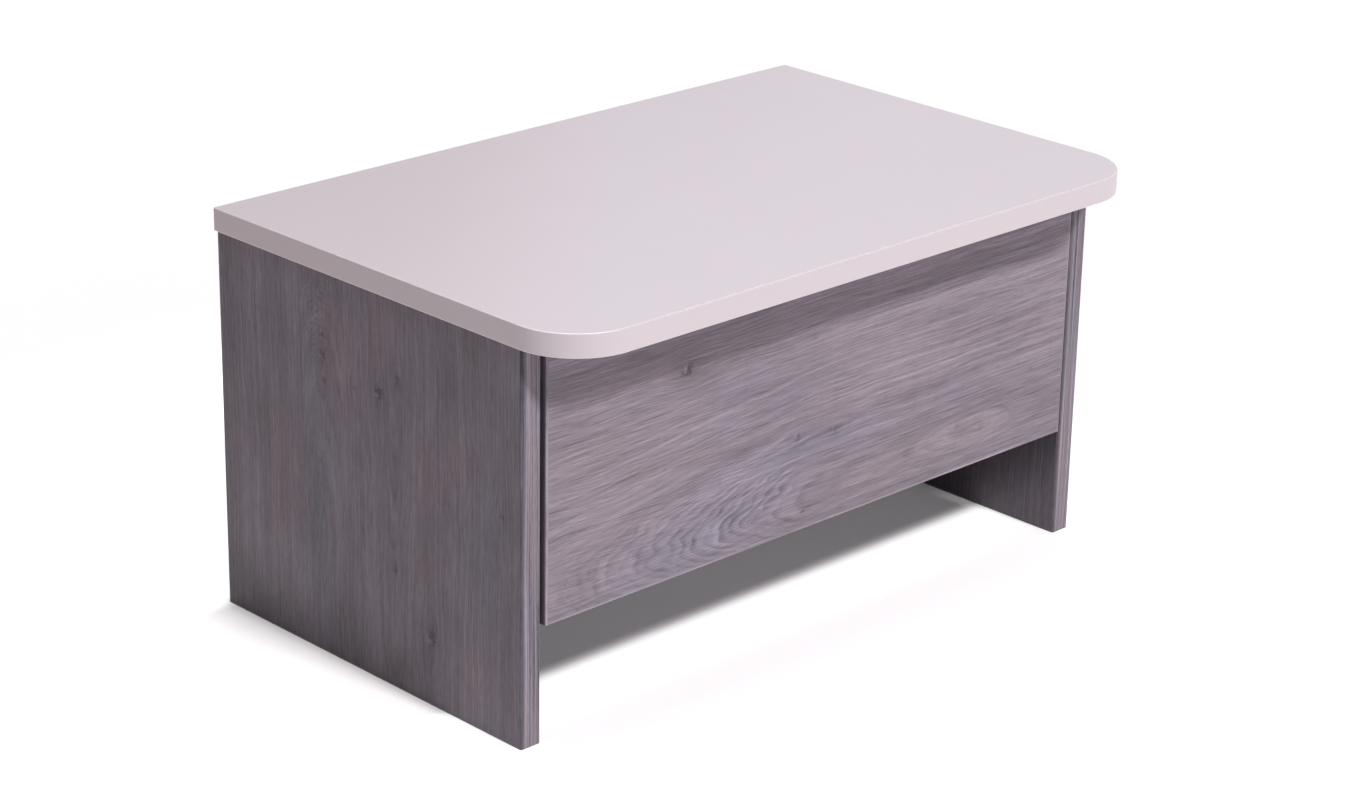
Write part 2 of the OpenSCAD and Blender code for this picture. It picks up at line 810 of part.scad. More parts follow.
// The inner cage lies in the middle rail and bends round the backs of the outer races
module inner_cage_section() {
    web_u = middle_u + rail_sheet + cage_clearance;
    bend_r = race_back_r + cage_clearance + cage_t / 2;
    web_angle = asin((outer_u - web_u - cage_t / 2) / bend_r);
    arm_angle = acos((outer_v - inner_v) / bend_r);
    arm_start = outer_u + bend_r * sin(arm_angle);
    web(web_u, cage_t, outer_v - bend_r * cos(web_angle));
    above_and_below() {
        bent_strip([outer_u, outer_v], bend_r, cage_t, 270 - web_angle, 270 + arm_angle);
        translate([arm_start, inner_v - cage_t / 2])
            square([slide_t - cage_clearance - arm_start, cage_t]);
    }
}

module cabinet_rail(side) {
    color(steel_colour) difference() {
        on_slide(side) along_slide(rail_l) cabinet_rail_section();
        at_cabinet_rail_screws()
            sunk_screw_form(rail_screw_l, rail_screw_d, rail_screw_head_d, rail_screw_head_h,
                            fitting_play);
    }
}

module middle_rail(side) {
    color(steel_colour) on_slide(side) difference() {
        along_slide(rail_l) middle_rail_section();
        for (y = rail_screw_ys)
            translate([middle_u - cut, y, 0])
                rotate([0, 90, 0]) cylinder(h = rail_sheet + 2 * cut, d = access_hole_d);
    }
}

module drawer_rail(side) {
    color(steel_colour) difference() {
        on_slide(side) along_slide(rail_l) drawer_rail_section();
        at_drawer_rail_screws() screw_bore(rail_screw_l, rail_screw_d);
    }
}

module cabinet_rail_screws() {
    color(zinc_colour)
        at_cabinet_rail_screws()
            sunk_screw(rail_screw_l, rail_screw_d, rail_screw_head_d, rail_screw_head_h);
}

module drawer_rail_screws() {
    color(zinc_colour)
        at_drawer_rail_screws()
            raised_screw(rail_screw_l, rail_screw_d, rail_screw_head_d, rail_screw_head_h);
}

// The places of a cage's balls, in rows at this u and at v above and below the middle
module at_balls(u, v) {
    for (y = ball_ys, row = [-v, v])
        translate([u, cage_y + y, row]) children();
}

module cage_pocket() {
    pocket_h = 4 * cage_t;
    translate([0, 0, -pocket_h / 2]) cylinder(h = pocket_h, r = ball_r + pocket_clearance);
}

module outer_ball_cage(side) {
    color(cage_colour) on_slide(side) difference() {
        translate([0, cage_y, 0]) along_slide(cage_l) outer_cage_section();
        at_balls(outer_u, outer_v) cage_pocket();
    }
}

module inner_ball_cage(side) {
    color(cage_colour) on_slide(side) difference() {
        translate([0, cage_y, 0]) along_slide(cage_l) inner_cage_section();
        at_balls(inner_u, inner_v) cage_pocket();
    }
}

module outer_balls(side) {
    color(steel_colour) on_slide(side) at_balls(outer_u, outer_v) sphere(ball_r);
}

module inner_balls(side) {
    color(steel_colour) on_slide(side) at_balls(inner_u, inner_v) sphere(ball_r);
}

top_panel();
top_edge_band();
top_back_edge_band();
side_panel(LEFT);  // left_side_panel
side_panel(RIGHT);  // right_side_panel
side_front_band(LEFT);  // left_front_edge_band
side_front_band(RIGHT);  // right_front_edge_band
side_back_band(LEFT);  // left_back_edge_band
side_back_band(RIGHT);  // right_back_edge_band
side_bottom_band(LEFT);  // left_bottom_edge_band
side_bottom_band(RIGHT);  // right_bottom_edge_band
bottom_panel();
bottom_front_edge_band();
back_panel();
top_dowels();
top_cam_bolts();
top_cams();
bottom_dowels();
bottom_cam_bolts();
bottom_cams();
back_panel_screws();
cabinet_rail(LEFT);  // left_cabinet_rail
cabinet_rail(RIGHT);  // right_cabinet_rail
cabinet_rail_screws();
drawer_front();
front_upright_band(LEFT);  // drawer_front_left_band
front_upright_band(RIGHT);  // drawer_front_right_band
front_level_band(false);  // drawer_front_lower_band
front_level_band(true);  // drawer_front_upper_band
drawer_side(LEFT);  // drawer_left_side
drawer_side(RIGHT);  // drawer_right_side
drawer_back();
drawer_floor();
drawer_side_band(LEFT);  // drawer_left_side_band
drawer_side_band(RIGHT);  // drawer_right_side_band
drawer_back_band();
drawer_front_dowels();
drawer_front_cam_bolts();
drawer_front_cams();
drawer_back_screws();
drawer_floor_screws();
drawer_rail(LEFT);  // left_drawer_rail
drawer_rail(RIGHT);  // right_drawer_rail
drawer_rail_screws();
middle_rail(LEFT);  // left_middle_rail
middle_rail(RIGHT);  // right_middle_rail
outer_ball_cage(LEFT);  // left_outer_ball_cage
outer_ball_cage(RIGHT);  // right_outer_ball_cage
inner_ball_cage(LEFT);  // left_inner_ball_cage
inner_ball_cage(RIGHT);  // right_inner_ball_cage
outer_balls(LEFT);  // left_outer_balls
outer_balls(RIGHT);  // right_outer_balls
inner_balls(LEFT);  // left_inner_balls
inner_balls(RIGHT);  // right_inner_balls
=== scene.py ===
import json
import math

import bpy
from mathutils import Matrix, Vector


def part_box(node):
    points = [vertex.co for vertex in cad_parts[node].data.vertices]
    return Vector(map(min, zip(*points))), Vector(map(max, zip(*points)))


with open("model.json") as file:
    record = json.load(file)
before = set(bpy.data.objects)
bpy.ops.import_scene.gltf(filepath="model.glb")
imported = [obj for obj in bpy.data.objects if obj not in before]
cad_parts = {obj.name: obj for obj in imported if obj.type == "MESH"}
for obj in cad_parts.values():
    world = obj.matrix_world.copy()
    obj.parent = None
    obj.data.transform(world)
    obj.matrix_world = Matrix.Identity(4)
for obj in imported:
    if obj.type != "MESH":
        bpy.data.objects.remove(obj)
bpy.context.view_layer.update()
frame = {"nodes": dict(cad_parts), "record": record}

MM = 1000.0


def box_mm(node):
    """A CAD node's lowest and highest corners in millimetres."""
    return [[round(value * MM, 2) for value in corner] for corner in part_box(node)]


# Places in millimetres that the paint and the floor follow, from the frame
PANEL_LOW, PANEL_HIGH = box_mm("right_side_panel")
PANEL_INNER = PANEL_LOW[0]
PANEL_OUTER = PANEL_HIGH[0]
PANEL_FRONT = PANEL_LOW[1]
TOP_HALF_WIDTH, BACK = box_mm("top_edge_band")[1][:2]
DRAWER_FACE = box_mm("drawer_front")[0][1]
BOTTOM_UNDERSIDE, BOTTOM_UPSIDE = (corner[2] for corner in box_mm("bottom_panel"))

# The camera: its place in metres, where it looks, and its lens for a picture of 1360 x 800
CAMERA_PLACE = (-1.70547, -1.72911, 1.08549)
CAMERA_HEADING = 44.470  # degrees to the right of +Y
CAMERA_DOWN = 21.149  # degrees below the horizon
CAMERA_ROLL = 1.076  # degrees
SENSOR_WIDTH = 36.0
LENS = 89.459
NEAREST, FARTHEST = 0.05, 100.0  # metres that the camera sees

# The lamps. A share is what a white surface facing the lamp sends back of it.
KEY_TOWARDS = (0.02, -0.695, 0.765)  # from the object, as long as the key's share
KEY_ANGLE = 8.0  # degrees across, which sets how soft its shadows are
OVERHEAD_SHARE = 0.455
OVERHEAD_ANGLE = 60.0
FRONT_FILL_TOWARDS = (0.0, -0.185, 0.03)  # from the object, as long as its share
FRONT_FILL_ANGLE = 40.0
WORLD_COLOUR = (0.08, 0.075, 0.077)

# The floor. Its glow is what it shines by itself, where the case takes light away.
FLOOR_HALF_SIZE = 45.0  # metres
FLOOR_COLOUR = (0.812, 0.775, 0.790)
FLOOR_ROUGHNESS = 0.9
FLOOR_MOTTLE = 0.004
GLOW_COLOUR = (0.94, 1.0, 0.97)
GLOW_AROUND = 0.127
GLOW_BEHIND = 0.615
GLOW_BEFORE = 0.34
GLOW_UNDER = 0.072
SHADOW_EDGE = -70.0  # y in millimetres of the front edge of the shade under the case, in the photo


class Num:
    """A number in a material's node tree. Arithmetic on it adds Math nodes."""

    def __init__(self, paint, socket):
        self.paint = paint
        self.socket = socket

    def _math(self, operation, *others):
        return self.paint.math(operation, self, *others)

    def __add__(self, other):
        return self._math("ADD", other)

    def __radd__(self, other):
        return self._math("ADD", other)

    def __sub__(self, other):
        return self._math("SUBTRACT", other)

    def __rsub__(self, other):
        return self.paint.math("SUBTRACT", other, self)

    def __mul__(self, other):
        return self._math("MULTIPLY", other)

    def __truediv__(self, other):
        return self._math("DIVIDE", other)

    def __pow__(self, other):
        return self._math("POWER", other)

    def sqrt(self):
        return self._math("SQRT")

    def abs(self):
        return self._math("ABSOLUTE")

    def exp(self):
        return self._math("EXPONENT")

    def fract(self):
        return self._math("FRACT")

    def at_least(self, other):
        return self._math("MAXIMUM", other)

    def at_most(self, other):
        return self._math("MINIMUM", other)

    def soft_max(self, other, distance):
        return self._math("SMOOTH_MAX", other, distance)

    def step(self, low, high):
        """0 below low, 1 above high, and smooth in between. Low may be the larger of the two."""
        node = self.paint.node("ShaderNodeMapRange")
        node.interpolation_type = "SMOOTHSTEP"
        if low > high:
            low, high = high, low
            node.inputs["To Min"].default_value = 1.0
            node.inputs["To Max"].default_value = 0.0
        node.inputs["From Min"].default_value = low
        node.inputs["From Max"].default_value = high
        self.paint.link(self, node.inputs["Value"])
        return Num(self.paint, node.outputs["Result"])


class Paint:
    """A procedural material in the making. Places in it are in millimetres, in the CAD frame, at rest."""

    def __init__(self, name):
        self.material = bpy.data.materials.new(name)
        self.material.use_nodes = True
        self.tree = self.material.node_tree
        self.tree.nodes.clear()
        self.shader = self.node("ShaderNodeBsdfPrincipled")
        output = self.node("ShaderNodeOutputMaterial")
        self.tree.links.new(self.shader.outputs["BSDF"], output.inputs["Surface"])
        split = self.node("ShaderNodeSeparateXYZ")
        place = self.node("ShaderNodeTexCoord").outputs["Object"]
        self.tree.links.new(place, split.inputs[0])
        self.x, self.y, self.z = (Num(self, s) * MM for s in split.outputs)
        split = self.node("ShaderNodeSeparateXYZ")
        self.tree.links.new(self.node("ShaderNodeNewGeometry").outputs["Normal"], split.inputs[0])
        self.nx, self.ny, self.nz = (Num(self, s) for s in split.outputs)

    def node(self, kind):
        return self.tree.nodes.new(kind)

    def link(self, value, socket):
        if isinstance(value, Num):
            self.tree.links.new(value.socket, socket)
        else:
            socket.default_value = value

    def math(self, operation, *values):
        node = self.node("ShaderNodeMath")
        node.operation = operation
        for value, socket in zip(values, node.inputs):
            self.link(value, socket)
        return Num(self, node.outputs[0])

    def vector(self, x, y, z):
        node = self.node("ShaderNodeCombineXYZ")
        for value, socket in zip((x, y, z), node.inputs):
            self.link(value, socket)
        return node.outputs[0]

    def noise(self, x, y=0.0, z=0.0, detail=2.0, roughness=0.5):
        """Smooth noise from 0 to 1, with features about one unit wide."""
        node = self.node("ShaderNodeTexNoise")
        node.inputs["Scale"].default_value = 1.0
        node.inputs["Detail"].default_value = detail
        node.inputs["Roughness"].default_value = roughness
        self.tree.links.new(self.vector(x, y, z), node.inputs["Vector"])
        return Num(self, node.outputs[0])

    def ripple(self, x, y=0.0, z=0.0, detail=2.0, roughness=0.5):
        """The same noise, but round 0."""
        return self.noise(x, y, z, detail, roughness) - 0.5

    def speckle(self, size, detail=2.0, roughness=0.6):
        """Noise round 0, with features of this size in all directions."""
        return self.ripple(self.x / size, self.y / size, self.z / size, detail, roughness)

    def cells(self, x, y, z):
        """Cells about one unit wide, each with its own random number from 0 to 1."""
        node = self.node("ShaderNodeTexVoronoi")
        node.inputs["Scale"].default_value = 1.0
        self.tree.links.new(self.vector(x, y, z), node.inputs["Vector"])
        split = self.node("ShaderNodeSeparateColor")
        self.tree.links.new(node.outputs["Color"], split.inputs[0])
        return Num(self, split.outputs[0])

    def mix(self, share, first, second):
        """A colour between two colours."""
        node = self.node("ShaderNodeMix")
        node.data_type = "RGBA"
        self.link(share, node.inputs[0])
        for colour, socket in ((first, node.inputs[6]), (second, node.inputs[7])):
            if isinstance(colour, bpy.types.NodeSocket):
                self.tree.links.new(colour, socket)
            else:
                socket.default_value = (*colour, 1.0)
        return node.outputs[2]

    def scaled(self, colour, amount):
        """A colour made lighter or darker by a number round 1."""
        node = self.node("ShaderNodeVectorMath")
        node.operation = "SCALE"
        if isinstance(colour, bpy.types.NodeSocket):
            self.tree.links.new(colour, node.inputs[0])
        else:
            node.inputs[0].default_value = colour
        self.link(amount, node.inputs["Scale"])
        return node.outputs[0]

    def finish(self, colour, roughness, height=None, relief=0.0, specular=0.5, metallic=0.0):
        """Joins it all to the shader. Relief is the depth of the bump in millimetres."""
        self.tree.links.new(colour, self.shader.inputs["Base Color"])
        self.link(roughness, self.shader.inputs["Roughness"])
        self.shader.inputs["Specular IOR Level"].default_value = specular
        self.shader.inputs["Metallic"].default_value = metallic
        if height is not None:
            bump = self.node("ShaderNodeBump")
            bump.inputs["Distance"].default_value = relief / MM
            self.link(height, bump.inputs["Height"])
            self.tree.links.new(bump.outputs[0], self.shader.inputs["Normal"])
        return self.material


def hill(u, v, centre_u, centre_v, half_u, half_v):
    """A smooth hill of height 1 round a place."""
    return (((u - centre_u) / half_u) ** 2 * -1 - ((v - centre_v) / half_v) ** 2).exp()


def hills(u, v, rows):
    """The sum of hills. A row is a hill's place, its half width and half length, and its height."""
    return sum(hill(u, v, *row[:4]) * row[4] for row in rows)


def seam(u, place, half_width):
    """A thin line of height 1, where two planks of the print meet."""
    return 1 - (u - place).abs().step(0, half_width)


# The oak print: a bluer and a redder grey that lie in patches along the grain, and its dark lines
OAK_BLUE = (0.179, 0.164, 0.204)
OAK_RED = (0.205, 0.166, 0.188)
OAK_DARK = (0.075, 0.062, 0.074)
OAK_HUE = 0.42  # the middle share of the blue
OAK_SHINE = 0.2
OAK_RELIEF = 0.06
# The side panels' print is darker than the drawer front's, as painted shade.
SIDE_TONE = 0.82  # how light the print on the side panels is
FRONT_TONE = 1.01  # and on the drawer front
RING_WIDTH = 1.1  # mm from one year ring to the next, through the trunk
STRAIGHT_CUT = 0.8  # mm through the trunk for each mm across straight grain

# Its marks: their width across the grain and their length along it, in millimetres
STRAND = (1.1, 150)
FIBRE = (0.8, 26)
DASH = (1.5, 11)
PORE = (0.5, 8)
PATCH = (26, 110)

# Its bands that follow the year rings: likewise
BROAD = (4.5, 320)
LINE = (2.6, 240)
THREAD = (1.05, 300)


class Oak:
    """Grey oak print on one board. Across, along and through the board are Num in millimetres."""

    def __init__(self, paint, across, along, through, seed):
        self.p = paint
        self.u = across
        self.v = along
        self.w = through * 0.05 + seed
        self.core = None
        self.halo = None
        self.fleck = None
        self.warped = across + self.sway(260, 90, 9) + self.sway(90, 34, 1.8) + self.sway(24, 10, 0.5)

    def sway(self, length, width, height):
        """Sideways sway of the grain, of about this height in millimetres."""
        return self.p.ripple(self.v / length, self.u / width, self.w) * (2 * height)

    def add_knot(self, across, along, size, strength):
        """Bends the grain round a knot, and remembers its ragged dark core, its halo and its pale fleck."""
        flow = hill(self.u, self.v, across, along, size * 2.4, size * 6)
        self.warped = self.warped - (self.warped - across) * flow * 0.7
        u = (self.u - across) / size
        v = (self.v - along) / (size * 1.2)
        ragged = (u ** 2 + v ** 2).sqrt() + self.p.ripple(self.u / 1.8, self.v / 2.2, self.w, 2) * 2.6
        core = ragged.step(1.1, 0.5) * strength
        beside = size * 0.5
        fleck = hill(self.u, self.v, across + beside, along - beside, size * 0.55, size * 0.4) * strength
        halo = (u ** 2 * -0.12 - v ** 2 * 0.09).exp() * strength
        self.core = core if self.core is None else self.core.at_least(core)
        self.fleck = fleck if self.fleck is None else self.fleck + fleck
        self.halo = halo if self.halo is None else self.halo + halo

    def cathedral(self, centre, depth):
        """Distance from the middle of the trunk, where the board lies at this depth beside it. The rings
        make arches where the depth changes along the board."""
        return ((self.warped - centre) ** 2 + depth ** 2).sqrt()

    def on_plank(self, figured, plank):
        """Rings that are figured on one plank, and straight on both sides of it."""
        low, high = plank
        blur = 0.4
        share = self.u.step(high + blur, high - blur) * self.u.step(low - blur, low + blur)
        straight = self.warped * STRAIGHT_CUT
        return straight + (figured - straight) * share

    def marks(self, size, seed, detail=1):
        """Noise round 0 in marks along the grain."""
        width, length = size
        return self.p.ripple(self.warped / width, self.v / length, self.w + seed, detail)

    def bands(self, rings, size, seed, detail=2):
        """Noise round 0 in bands that follow the rings."""
        width, length = size
        return self.p.ripple(rings / width, self.v / length, self.w + seed, detail)

    def year_rings(self, rings, spacing):
        """Year rings from 0 to 1: each darkens slowly and ends at once."""
        wobble = self.p.noise(self.v / 60, self.u / 30, self.w + 17) * 2.6
        tooth = (rings / spacing + wobble).fract()
        patchy = self.p.noise(self.v / 22, self.u / 9, self.w + 19).step(0.28, 0.60) * 0.75 + 0.25
        return tooth.step(0.25, 0.85) * tooth.step(1.0, 0.88) * patchy

    def finish(self, facing, core_seed, rings, figure, tone, hue, spacing=RING_WIDTH, fine=1.0, dashes=0.3):
        """Joins the print to the shader. Facing is the normal's part that faces the board's print, core_seed
        picks the pattern of the board's core, the level lines of rings are the year rings, at this spacing,
        figure is how strongly they show, tone is how light the print is, hue is the share of the blue, and
        fine and dashes are the contrast of the long and the short grain."""
        p = self.p
        sharpness = 22
        year = self.year_rings(rings, spacing)
        broad = self.bands(rings, BROAD, 7)
        thread = self.bands(rings, THREAD, 0, 1)
        line = self.bands(rings, LINE, 9)
        dark_line = 1 - (line.abs() * sharpness).at_most(1)
        light_line = 1 - ((line - 0.16).abs() * sharpness).at_most(1)
        strand = self.marks(STRAND, 5)
        fibre = self.marks(FIBRE, 3, 0)
        dash = self.marks(DASH, 13, 0)
        pores = self.marks(PORE, 11, 0).step(0.10, 0.22)
        patch = self.marks(PATCH, 21, 2)
        grain = thread * 0.42 + strand * 0.60 + fibre * 0.52 + light_line * 0.12
        shade = grain * fine + dash * dashes + broad * 0.56 + patch * 0.40 - year * figure + 1.01
        dark = (dark_line * 0.16 + pores * 0.18) * fine
        if self.halo is not None:
            shade = shade - self.halo * 0.20 + self.fleck * 0.35
            dark = dark.at_least(self.core - self.fleck)
        tint = p.mix((hue + year * figure * 0.3).at_least(0).at_most(1), OAK_RED, OAK_BLUE)
        dark = dark.at_least(0).at_most(0.9)
        print_colour = p.mix(dark, p.scaled(tint, shade * tone), p.scaled(OAK_DARK, tone))
        roughness = pores * 0.12 + fibre * 0.15 + 0.50
        height = fibre * 0.8 + strand * 0.4 - pores * 0.9 - dark_line * 0.3
        colour = faced(p, print_colour, facing, core_seed)
        return p.finish(colour, roughness, height, OAK_RELIEF, OAK_SHINE)


CHIP_DARK = (0.20, 0.125, 0.065)
CHIP_LIGHT = (0.58, 0.43, 0.27)


def faced(paint, colour, facing, seed):
    """The print shows on the board's two faces, and the chipboard of its core on every cut."""
    chip = paint.cells(paint.x / 2.4, paint.y / 2.4 + seed, paint.z / 1.1)
    fine = paint.noise(paint.x / 0.8, paint.y / 0.8, paint.z / 0.8 + seed, 3)
    core = paint.mix((chip * 0.7 + fine * 0.5).at_most(1), CHIP_DARK, CHIP_LIGHT)
    return paint.mix(facing.abs().step(0.4, 0.6), core, colour)


# What the left panel's print shows in the photo. Places are y and z.
LEFT_PLANK = (-58, 97)  # the y of the middle plank's two seams
LEFT_KNOTS = [  # place, size, strength
    (10, 225, 4.6, 1.0), (73, 236, 3.4, 0.8), (72, 216, 2.4, 0.7), (37, 220, 2.6, 0.5),
    (-11, 241, 2.6, 0.6), (-6, 92, 2.4, 0.6), (-46, 53, 5.2, 0.9), (-123, 170, 3.0, 0.6),
]
LEFT_FIGURES = [(76, 262, 20, 34, 0.30), (-6, 130, 20, 70, 0.08)]
LEFT_BLUES = [  # below 0 where the oak is redder
    (79, 107, 16, 80, 0.6), (122, 130, 18, 60, -0.3), (-103, 120, 16, 45, 0.5),
    (62, 245, 14, 30, -0.6), (12, 262, 9, 26, -0.5), (-48, 180, 12, 26, -0.5),
]
LEFT_BLOTS = [  # below 0 where it is lighter
    (84, 110, 14, 75, 0.12), (88, 150, 12, 18, 0.08), (-66, 240, 18, 60, 0.10),
    (60, 285, 30, 18, 0.06), (42, 275, 14, 40, -0.10), (-80, 130, 30, 90, -0.05),
]


def left_side_paint():
    """An arch high on the rear half and a long bowl before it, with a painted highlight along its
    front edge, and painted shade at the back, under the top and low at the back."""
    p = Paint("oak_left_side")
    oak = Oak(p, p.y, p.z, p.x, 11.0)
    for knot in LEFT_KNOTS:
        oak.add_knot(*knot)
    zigzag = p.ripple(p.y / 6, p.z / 25, 1.0) * 22
    arch = oak.cathedral(76, ((p.z + zigzag - 85) * 0.20).soft_max(6, 8))
    bowl = oak.cathedral(-6, ((478 - p.z - zigzag) * 0.052).soft_max(4, 4)) + 40
    rings = oak.on_plank(arch + (bowl - arch) * p.y.step(52, 28), LEFT_PLANK)
    figure = hills(p.y, p.z, LEFT_FIGURES) + 0.05
    hue = p.ripple(p.y / 24, p.z / 130, 4.0, 3) * 1.1 + hills(p.y, p.z, LEFT_BLUES) + OAK_HUE
    seams = seam(p.y, LEFT_PLANK[0], 0.9) * 0.10 - seam(p.y, LEFT_PLANK[1], 0.8) * 0.08
    # Painted highlight: a thin lighter line just behind the front edge.
    front = p.y.step(PANEL_FRONT + 1.4, PANEL_FRONT + 0.8) * 0.10
    # Painted shade: darker low at the back, towards the back and under the top.
    painted_low_back_shade = p.z.step(70, 6) * p.y.step(-95, 20) * 0.29
    blots_and_painted_shade = hills(p.y, p.z, LEFT_BLOTS) + p.y.step(110, 195) * 0.09 + p.z.step(278, 302) * 0.06 + painted_low_back_shade
    tone = p.ripple(p.y / 34, p.z / 62, 9.0, 2) * 0.34 + seams + front - blots_and_painted_shade + SIDE_TONE
    return oak.finish(p.nx, 2.0, rings, figure, tone, hue)


# The right panel's print isn't seen in the photo, so these are made up. Places are y and z.
RIGHT_PLANK = (-66, 88)
RIGHT_KNOTS = [(52, 150, 3.0, 0.8), (-70, 210, 3.4, 0.9), (120, 250, 2.0, 0.6)]
RIGHT_FIGURES = [(30, 190, 24, 90, 0.2)]


def right_side_paint():
    """Its inner face has painted shade, deepest at the back below the bottom panel, as in the photo."""
    p = Paint("oak_right_side")
    oak = Oak(p, p.y, p.z, p.x, 31.0)
    for knot in RIGHT_KNOTS:
        oak.add_knot(*knot)
    zigzag = p.ripple(p.y / 6, p.z / 25, 21.0) * 14
    rings = oak.on_plank(oak.cathedral(30, ((p.z + zigzag + 60) * 0.09).soft_max(5, 6)), RIGHT_PLANK)
    figure = hills(p.y, p.z, RIGHT_FIGURES) + 0.05
    hue = p.ripple(p.y / 24, p.z / 130, 24.0, 3) * 1.1 + OAK_HUE
    cloud = p.ripple(p.y / 60, p.z / 140, 29.0) * 0.22 - seam(p.y, RIGHT_PLANK[1], 0.8) * 0.08 + 1
    # Painted shade on the inner face, deepest at the back below the bottom panel.
    under = (p.y + p.z * 1.33).step(-100, 0) * p.z.step(BOTTOM_UPSIDE - 2, BOTTOM_UNDERSIDE + 2)
    inside = p.nx.step(-0.5, -0.9) * (under * 0.50 + 0.07)
    return oak.finish(p.nx, 3.0, rings, figure, cloud * (SIDE_TONE - inside), hue)


# What the drawer front's print shows in the photo. Places are z and x.
FRONT_KNOTS = [  # place, size, strength
    (246, -142, 4.8, 1.0), (165, -28, 3.4, 0.6), (161, 12, 3.0, 0.5), (105, -20, 1.8, 0.7),
    (128, 150, 1.8, 0.4), (120, 178, 1.6, 0.35),
]
FRONT_HEART = 117  # the z of the figure's middle
FRONT_FIGURES = [(120, -106, 36, 90, 0.38), (122, 160, 14, 60, 0.10)]
FRONT_BLUES = [  # below 0 where the oak is redder
    (235, -250, 40, 90, -0.15), (112, -150, 18, 90, 0.4), (118, 165, 12, 60, -0.4),
    # The last row paints a bluish tint of shade under the top's front edge.
    (150, 40, 16, 130, 0.2), (292, -190, 14, 120, 0.6),
]
FRONT_LIGHTS = [(118, -110, 24, 95, -0.06), (190, -40, 24, 260, 0.04)]  # below 0 where it is darker


def drawer_front_paint():
    """Level grain, with a flame of pointed arches low on the left and a small eye low on the right."""
    p = Paint("oak_drawer_front")
    oak = Oak(p, p.z, p.x, p.y, 51.0)
    for knot in FRONT_KNOTS:
        oak.add_knot(*knot)
    zigzag = p.ripple(p.z / 8, p.x / 45, 41.0, 1) * 22 + p.ripple(p.z / 17, p.x / 80, 42.0) * 38
    zigzag = zigzag * hill(p.z, p.x, FRONT_HEART, 0, 44, 900)
    eye = hill(p.z + zigzag * 0.25, p.x + zigzag, 122, 162, 22, 60)
    depth = ((1119 - p.x - zigzag) * 0.075).soft_max(86, 3) - eye * 2.6
    rings = oak.cathedral(p.x.at_least(-214) * 0.016 + FRONT_HEART, depth)
    figure = hills(p.z, p.x, FRONT_FIGURES) + 0.06
    hue = p.ripple(p.x / 140, p.z / 24, 44.0, 2) + hills(p.z, p.x, FRONT_BLUES) + OAK_HUE
    tone = p.ripple(p.x / 150, p.z / 40, 49.0, 1) * 0.24 + hills(p.z, p.x, FRONT_LIGHTS) + FRONT_TONE
    # Painted light and shade: lighter in the upper part, darker near the lower edge.
    tone = tone + p.z.step(120, 200) * 0.05 - p.z.step(110, 94) * 0.07
    return oak.finish(p.ny, 4.0, rings, figure, tone, hue, spacing=1.05, fine=1.2, dashes=0.12)


def bottom_paint():
    """Level grain with a quiet figure, made up too."""
    p = Paint("oak_bottom")
    oak = Oak(p, p.y, p.x, p.z, 71.0)
    zigzag = p.ripple(p.y / 6, p.x / 40, 61.0) * 20
    rings = oak.cathedral(20, ((p.x + zigzag + 700) * 0.07).soft_max(20, 6))
    hue = p.ripple(p.x / 140, p.y / 24, 64.0, 3) * 1.1 + OAK_HUE
    return oak.finish(p.nz, 5.0, rings, 0.15, 1.0, hue)


def oak_band_paint(name, along, across, tone, seed, shadow=None, arris_highlight=0.0):
    """Edge band in grey oak. Along and across the grain are axis names, tone is how light it is, shadow
    returns how much painted shade darkens it from place to place, and the last is how much lighter
    its arrises are painted, a painted highlight."""
    p = Paint(name)
    v = getattr(p, along)
    u = getattr(p, across[0]) + getattr(p, across[1])
    u = u + p.ripple(v / 90, u / 20, seed) * 3
    strand = p.ripple(u / 1.6, v / 170, seed, 1)
    broad = p.ripple(u / 3.5, v / 160, seed + 1, 1)
    fibre = p.ripple(u / 0.8, v / 9, seed + 3, 1)
    hue = p.noise(u / 6, v / 120, seed + 5, 2).step(0.3, 0.7)
    shade = strand * 1.9 + broad * 0.4 + fibre * 0.55 + tone
    if shadow:
        shade = shade * (1 - shadow(p))
    # Painted highlight: the arrises are lighter.
    if arris_highlight:
        arris = ((p.nx.abs() + p.nz.abs()) * p.ny.abs()).step(0.03, 0.30)
        shade = shade * (1 + arris * arris_highlight)
    colour = p.scaled(p.mix(hue, OAK_RED, OAK_BLUE), shade)
    return p.finish(colour, fibre * 0.15 + 0.46, fibre * 0.5 + strand, 0.04, OAK_SHINE)


def painted_left_arris_shade(p):
    """Painted shade on the left arrises of the side panels' front edges, and 2 mm beside them."""
    from_left = (p.x + PANEL_OUTER).abs().at_most((p.x - PANEL_INNER).abs())
    beside = from_left.step(3.4, 1.9) * p.ny.step(-0.8, -0.95)
    return beside.at_least((p.nx * p.ny).step(0.04, 0.25)) * 0.40


def painted_shade_in_gap(p):
    """Painted shade in the gaps on the ends of the drawer front, apart from their outer 2 mm, which stand
    proud.
    """
    return p.nx.abs().step(0.8, 1.0) * p.y.step(DRAWER_FACE + 0.8, DRAWER_FACE + 2.5) * 0.45


TOP_PALE = (0.600, 0.552, 0.590)
# The second colour is the top's own in painted shade, darker and redder, at the rear left corner.
TOP_SHADED_CORNER = (0.568, 0.512, 0.548)
TOP_RELIEF = 0.012
BAND_FRONT = (0.494, 0.443, 0.470)
# The band's colour towards the back is darker and redder: painted shade.
BAND_BACK = (0.462, 0.395, 0.414)


